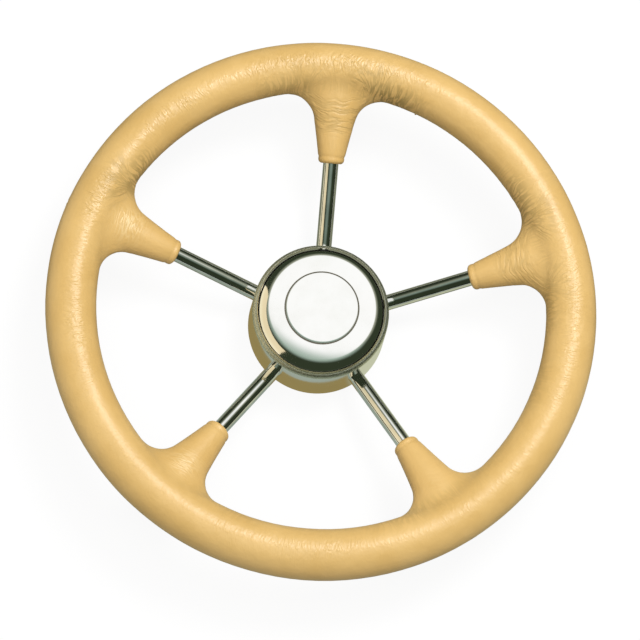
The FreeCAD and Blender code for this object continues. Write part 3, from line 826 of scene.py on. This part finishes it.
steelLook = {
    "colour": (0.97, 0.97, 0.95, 1),
    "colourWarm": (0.93, 0.93, 0.90, 1),
    "gapLine": (0.25, 0.235, 0.17, 1),
    "satin": (0.70, 0.71, 0.58, 1),  # the rounded shoulder of the drum, painted darker and olive as painted shade
    "edge": (0.90, 0.80, 0.56, 1),  # the satin edge of the cap, over its seam, painted gold as a painted reflection
    "rod": (0.75, 0.77, 0.75, 1),
    "turned": (0.60, 0.60, 0.58, 1),
    "turnedPale": (0.72, 0.72, 0.69, 1),
    "roughness": 0.045,
    "lineHalf": 0.0003,        # the dark line round the disc: its half width, and where its soft side ends
    "lineSoft": 0.0006,
    "edgeTop": 0.0031,         # the satin edge ends this far over the seam
}


def makePolishedSteel(name, tone="colour", seatLine=None, seam=None, satinShadeAbove=None):
    material, tree, shader, place = newMaterial(name)
    height = splitUp(tree, place)[2]
    cloud = noiseOn(tree, place, 55.0, 4.0, 0.6)
    streaks = noiseOn(tree, stretched(tree, place, (1.0, 1.0, 7.0)), 420.0, 3.0, 0.7)
    colour = mixColours(tree, spread(tree, cloud, 0.35, 0.7), steelLook[tone], steelLook["colourWarm"])
    rough = spread(tree, cloud, 0.3, 0.75, steelLook["roughness"], steelLook["roughness"] + 0.04)
    rough = sums(tree, "MULTIPLY_ADD", streaks, 0.03, rough)
    if seatLine:
        # a dark, matt line round the gap of the disc, which is no metal
        off = sums(tree, "ABSOLUTE", sums(tree, "SUBTRACT", fromAxis(tree, place)[1], seatLine))
        line = spread(tree, off, steelLook["lineHalf"], steelLook["lineSoft"], 1.0, 0.0)
        colour = mixColours(tree, line, colour, steelLook["gapLine"])
        rough = sums(tree, "MULTIPLY_ADD", line, 0.60, rough)
        tree.links.new(sums(tree, "SUBTRACT", 1.0, line), shader.inputs["Metallic"])
    if seam:
        # the narrow upright edge over the seam has a satin finish, and its gold colour is a painted
        # reflection
        above = spread(tree, height, seam - 0.0003, seam)
        top = seam + steelLook["edgeTop"]
        edge = sums(tree, "MULTIPLY", above, spread(tree, height, top - 0.0004, top, 1.0, 0.0))
        colour = mixColours(tree, edge, colour, steelLook["edge"])
        rough = sums(tree, "MULTIPLY_ADD", edge, 0.40, rough)
    if satinShadeAbove:
        # the rounded shoulder is brushed rather than mirror bright, and painted darker and olive as painted
        # shade by the cap's seam
        soft = spread(tree, height, satinShadeAbove - 0.0008, satinShadeAbove + 0.0004)
        colour = mixColours(tree, soft, colour, steelLook["satin"])
        rough = sums(tree, "MULTIPLY_ADD", soft, 0.44, rough)
    bump = add(tree, "Bump", {"Height": streaks, "Strength": 0.02, "Distance": 0.00002})
    connect(tree, shader, colour, rough, bump, metallic=1.0)
    return material


def makeTurnedSteel():
    material, tree, shader, place = newMaterial("turnedSteel")
    height = splitUp(tree, place)[2]
    ring = add(tree, "CombineXYZ", {0: fromAxis(tree, place)[1], 1: height}).outputs[0]
    marks = noiseOn(tree, ring, 2600.0, 3.0, 0.7)
    cloud = noiseOn(tree, place, 90.0, 3.0)
    colour = mixColours(tree, cloud, steelLook["turned"], steelLook["turnedPale"])
    rough = sums(tree, "MULTIPLY_ADD", marks, 0.18, 0.24)
    bump = add(tree, "Bump", {"Height": marks, "Strength": 0.35, "Distance": 0.00005})
    connect(tree, shader, colour, rough, bump, metallic=1.0)
    return material


def makeSoft(name, dark, light, size, roughness):
    # rubber and foam: matt, finely grained
    material, tree, shader, place = newMaterial(name)
    fine = noiseOn(tree, place, size, 4.0, 0.6)
    colour = mixColours(tree, fine, dark, light)
    rough = sums(tree, "MULTIPLY_ADD", fine, 0.15, roughness)
    bump = add(tree, "Bump", {"Height": fine, "Strength": 0.4, "Distance": 0.0001})
    connect(tree, shader, colour, rough, bump)
    return material


def makeThread():
    # twisted thread: fine bands over its length
    material, tree, shader, place = newMaterial("seamThread")
    twist = noiseOn(tree, place, 3600.0, 2.0, 0.6)
    fibre = noiseOn(tree, place, 700.0, 3.0, 0.6)
    colour = mixColours(tree, twist, thread["dark"], thread["light"])
    rough = sums(tree, "MULTIPLY_ADD", fibre, 0.2, 0.5)
    bump = add(tree, "Bump", {"Height": twist, "Strength": 0.5, "Distance": 0.0001})
    connect(tree, shader, colour, rough, bump)
    return material


def paint(piece, material):
    piece.data.materials.clear()
    piece.data.materials.append(material)


def paintNode(name, material):
    for slotOf in nodes[name].material_slots:
        slotOf.material = material


tanLeather = makeLeather()
rodSteel = makePolishedSteel("rodSteel", tone="rod")
capSteel = makePolishedSteel("capSteel", seatLine=cap["seat"] - 0.0001, seam=cap["seam"])
drumSteel = makePolishedSteel("drumSteel", satinShadeAbove=wheel["shoulderFoot"])
turnedSteel = makeTurnedSteel()
ringRubber = makeSoft("ringRubber", (0.012, 0.012, 0.013, 1), (0.03, 0.03, 0.032, 1), 1400.0, 0.55)
paddingFoam = makeSoft("paddingFoam", (0.05, 0.05, 0.05, 1), (0.10, 0.10, 0.10, 1), 900.0, 0.75)
paint(leather, tanLeather)
paint(seamThread, makeThread())
paint(capTop, capSteel)
paint(blankDisc, capSteel)
paintNode("hub_shell", drumSteel)
for name in spokeNames:
    paintNode(name, rodSteel)
for name in ("hub_back_plate", "hub_boss", "rim_core"):
    paintNode(name, turnedSteel)
paintNode("cap_ring", ringRubber)
paintNode("rim_padding", paddingFoam)
print("materials made")


studio = {
    "cameraPlace": (-0.08385, -0.38640, 1.60840),
    "cameraTurn": (13.413, -3.976, 3.823),
    "cameraLens": 141.95,
    "lampDistance": 1.7,       # from the point on the axis that both lamps face
    "lampHeight": 0.05,        # height of that point
    "keyAim": (0.28, 0.36, 0.89),  # from there towards the lamp
    "keySize": 0.60,
    "keyWatts": 15.0,
    "skyAim": (-0.05, -0.08, 0.99),
    "skySize": 1.6,
    "skyWatts": 13.0,
    "fill": 0.42,              # level of the world for everything but the view
    "floorGlow": 0.90,
    "floorColour": 0.30,
    "flagRadius": 2.5,         # dark flags round the wheel, for the polished steel to show
    "openingTurn": 75.0,       # the opening in the flags: compass turn, lean and half width
    "openingLean": 21.0,
    "openingWide": 24.0,
    "openingNear": 22.0,       # half width towards the viewer
    "flagDark": (0.030, 0.040, 0.022, 1),
    "flagPale": (0.36, 0.46, 0.39, 1),
    "flagPaleFar": (0.36, 0.38, 0.29, 1),
    "flagLow": (0.130, 0.138, 0.088, 1),
    "nearSide": (-0.26, -0.97, 0.0),  # towards the viewer
    "tealSide": (-0.45, -0.89, 0.0),  # where the table card is teal, and where khaki
    "khakiSide": (0.87, -0.50, 0.0),
    "goldRadius": 0.0522,
    "tableGold": (0.285, 0.222, 0.085, 1),
    "tableGrey": (0.205, 0.216, 0.150, 1),
    "tableTeal": (0.33, 0.38, 0.32, 1),
    "tableKhaki": (0.54, 0.56, 0.40, 1),
    "creamRadius": 0.50,
    "creamFrom": 148.0,
    "creamTo": 226.0,
    "creamFoot": 0.02,
    "creamTop": 0.72,
    "creamLight": (0.98, 0.90, 0.64, 1),
    "creamDeep": (0.84, 0.71, 0.46, 1),
}


def buildCamera():
    camera = bpy.data.objects.new("camera", bpy.data.cameras.new("camera"))
    scene.collection.objects.link(camera)
    camera.location = studio["cameraPlace"]
    camera.rotation_euler = [math.radians(turn) for turn in studio["cameraTurn"]]
    camera.data.lens = studio["cameraLens"]
    camera.data.clip_end = 20.0
    scene.camera = camera


def seenDirectly(tree):
    # 1 for the camera's own rays and for what metal and glass show
    path = add(tree, "LightPath")
    seen = sums(tree, "MAXIMUM", path.outputs["Is Camera Ray"], path.outputs["Is Glossy Ray"])
    return sums(tree, "MAXIMUM", seen, path.outputs["Is Transmission Ray"])


def buildWorld():
    world = bpy.data.worlds.new("studio")
    world.use_nodes = True
    tree = world.node_tree
    tree.nodes.clear()
    shown = add(tree, "Background", {"Color": (1, 1, 1, 1)})
    plain = add(tree, "Background", {"Color": (1, 1, 1, 1), "Strength": studio["fill"]})
    mix = add(tree, "MixShader", {0: seenDirectly(tree), 1: plain.outputs[0], 2: shown.outputs[0]})
    add(tree, "OutputWorld", {"Surface": mix.outputs[0]})
    scene.world = world


def buildFloor():
    bpy.ops.mesh.primitive_plane_add(size=12.0, location=(0, 0, 0))
    floor = settle("floor")
    material, tree = bareMaterial("paleFloor")
    glow = studio["floorGlow"]
    shownGlow = add(tree, "Emission", {"Color": (1, 1, 1, 1), "Strength": glow})
    shownShade = add(tree, "BsdfDiffuse", {"Color": (1 - glow, 1 - glow, 1 - glow, 1)})
    shown = add(tree, "AddShader", {0: shownGlow.outputs[0], 1: shownShade.outputs[0]})
    tone = studio["floorColour"]
    plain = add(tree, "BsdfDiffuse", {"Color": (tone, tone, tone, 1)})
    mix = add(tree, "MixShader", {0: seenDirectly(tree), 1: plain.outputs[0], 2: shown.outputs[0]})
    add(tree, "OutputMaterial", {"Surface": mix.outputs[0]})
    paint(floor, material)


def addLamp(name, aim, size, watts):
    aim = Vector(aim).normalized()
    data = bpy.data.lights.new(name, "AREA")
    data.shape = "DISK"
    data.size = size
    data.energy = watts
    lamp = bpy.data.objects.new(name, data)
    scene.collection.objects.link(lamp)
    lamp.location = aim * studio["lampDistance"] + Vector((0, 0, studio["lampHeight"]))
    lamp.rotation_euler = aim.to_track_quat("Z", "Y").to_euler()
    return lamp


def keepGlareOff(lamp, pieces):
    # the polished steel shows the cards alone, and not the lamp's own bright face
    skipped = bpy.data.collections.new("polishedSteel")
    for piece in pieces:
        skipped.objects.link(piece)
    for link in skipped.collection_objects:
        link.light_linking.link_state = "EXCLUDE"
    lamp.light_linking.receiver_collection = skipped


def onlyForMetal(card):
    # seen in the polished steel alone: it neither lights nor shades anything
    card.visible_camera = False
    card.visible_diffuse = False
    card.visible_transmission = False
    card.visible_volume_scatter = False
    card.visible_shadow = False


def cardMaterial(name):
    material, tree = bareMaterial(name)
    material.cycles.emission_sampling = "NONE"
    return material, tree, add(tree, "TexCoord").outputs["Object"]


# the card glows in its own colour, with no lamp in it: a painted reflection of a room for the polished
# steel, and clear where share is 0
def endCard(tree, colour, share):
    glow = add(tree, "Emission", {"Color": colour})
    clear = add(tree, "BsdfTransparent")
    mix = add(tree, "MixShader", {0: share, 1: clear.outputs[0], 2: glow.outputs[0]})
    add(tree, "OutputMaterial", {"Surface": mix.outputs[0]})


def buildFlags():
    # a dark tent with one round soft opening, overhead and a little beyond the first spoke
    bpy.ops.mesh.primitive_uv_sphere_add(
        segments=48, ring_count=24, radius=studio["flagRadius"], location=(0, 0, 0))
    tent = settle("flags")
    dropFaces(tent, lambda face: face.center.z < -0.02)
    material, tree, place = cardMaterial("flagGlow")
    way = add(tree, "VectorMath", {0: place}, operation="NORMALIZE").outputs[0]
    turn, lean = math.radians(studio["openingTurn"]), math.radians(studio["openingLean"])
    middle = (math.sin(lean) * math.cos(turn), math.sin(lean) * math.sin(turn), math.cos(lean))
    off = sums(tree, "MULTIPLY", sums(tree, "ARCCOSINE", towardsSide(tree, way, middle)), 180 / math.pi)
    # pale round the opening, teal on the near side, and dark further out
    nearer = towardsSide(tree, way, studio["nearSide"])
    edge = spread(tree, nearer, -0.10, 0.15, studio["openingWide"], studio["openingNear"])
    past = sums(tree, "SUBTRACT", off, edge)
    share = spread(tree, past, 0.0, 6.0)
    deep = spread(tree, past, 2.0, spread(tree, nearer, -0.10, 0.15, 20.0, 27.0))
    pale = mixColours(tree, spread(tree, nearer, -0.2, 0.1), studio["flagPaleFar"], studio["flagPale"])
    colour = mixColours(tree, deep, pale, studio["flagDark"])
    height = splitUp(tree, way)[2]
    low = mixColours(tree, spread(tree, nearer, 0.2, 0.6), studio["flagLow"], studio["tableTeal"])
    colour = mixColours(tree, spread(tree, height, 0.02, 0.30, 1.0, 0.0), colour, low)
    endCard(tree, colour, share)
    paint(tent, material)
    onlyForMetal(tent)


def buildTableCard():
    # what the undersides of the steel show: gold close to the hub, then grey with a teal and a khaki part
    bpy.ops.mesh.primitive_circle_add(vertices=64, radius=1.4, fill_type="NGON", location=(0, 0, 0.0006))
    card = settle("tableCard")
    material, tree, place = cardMaterial("tableCardGlow")
    flat, away = fromAxis(tree, place)
    ahead = add(tree, "VectorMath", {0: flat}, operation="NORMALIZE").outputs[0]
    teal = spread(tree, towardsSide(tree, ahead, studio["tealSide"]), 0.45, 0.58)
    colour = mixColours(tree, teal, studio["tableGrey"], studio["tableTeal"])
    khaki = spread(tree, towardsSide(tree, ahead, studio["khakiSide"]), 0.86, 0.95)
    colour = mixColours(tree, khaki, colour, studio["tableKhaki"])
    middle = math.radians((studio["creamFrom"] + studio["creamTo"]) / 2)
    half = math.cos(math.radians((studio["creamTo"] - studio["creamFrom"]) / 2))
    left = towardsSide(tree, ahead, (math.cos(middle), math.sin(middle), 0.0))
    cream = spread(tree, left, half - 0.01, half + 0.01)
    cream = sums(tree, "MULTIPLY", cream, spread(tree, away, 0.24, 0.30))
    colour = mixColours(tree, cream, colour, studio["creamLight"])
    gold = spread(tree, away, studio["goldRadius"], studio["goldRadius"] + 0.0006, 1.0, 0.0)
    gold = sums(tree, "MULTIPLY", gold, sums(tree, "SUBTRACT", 1.0, khaki))
    colour = mixColours(tree, gold, colour, studio["tableGold"])
    endCard(tree, colour, spread(tree, away, 0.9, 1.35, 1.0, 0.0))
    paint(card, material)
    onlyForMetal(card)


def buildCreamCard():
    # a warm card standing to the left, which the edge of the cap and the rods show as a bright band
    foot, top = studio["creamFoot"], studio["creamTop"]
    bpy.ops.mesh.primitive_cylinder_add(
        vertices=180, radius=studio["creamRadius"], depth=top - foot,
        end_fill_type="NOTHING", location=(0, 0, (top + foot) / 2))
    card = settle("creamCard")

    def elsewhere(face):
        turn = math.degrees(math.atan2(face.center.y, face.center.x)) % 360
        return not studio["creamFrom"] < turn < studio["creamTo"]

    dropFaces(card, elsewhere)
    material, tree, place = cardMaterial("creamCardGlow")
    height = splitUp(tree, place)[2]
    uneven = sums(tree, "MULTIPLY_ADD", noiseOn(tree, place, 6.0), 0.6, -0.3)
    share = sums(tree, "ADD", spread(tree, height, 0.05, 0.4), uneven)
    share = sums(tree, "MAXIMUM", sums(tree, "MINIMUM", share, 1.0), 0.0)
    colour = mixColours(tree, share, studio["creamLight"], studio["creamDeep"])
    endCard(tree, colour, 1.0)
    paint(card, material)
    onlyForMetal(card)


buildCamera()
buildWorld()
buildFloor()
buildFlags()
buildTableCard()
buildCreamCard()
keyLamp = addLamp("keyLamp", studio["keyAim"], studio["keySize"], studio["keyWatts"])
keepGlareOff(keyLamp, [capTop, blankDisc] + [nodes[name] for name in ["hub_shell"] + spokeNames])
skyLamp = addLamp("skyLamp", studio["skyAim"], studio["skySize"], studio["skyWatts"])
skyLamp.visible_glossy = False      # a plain fill, which the polished steel doesn't show
leather.visible_glossy = False      # nor do the steel parts show the grip
scene.view_settings.view_transform = "Standard"
print("studio built")
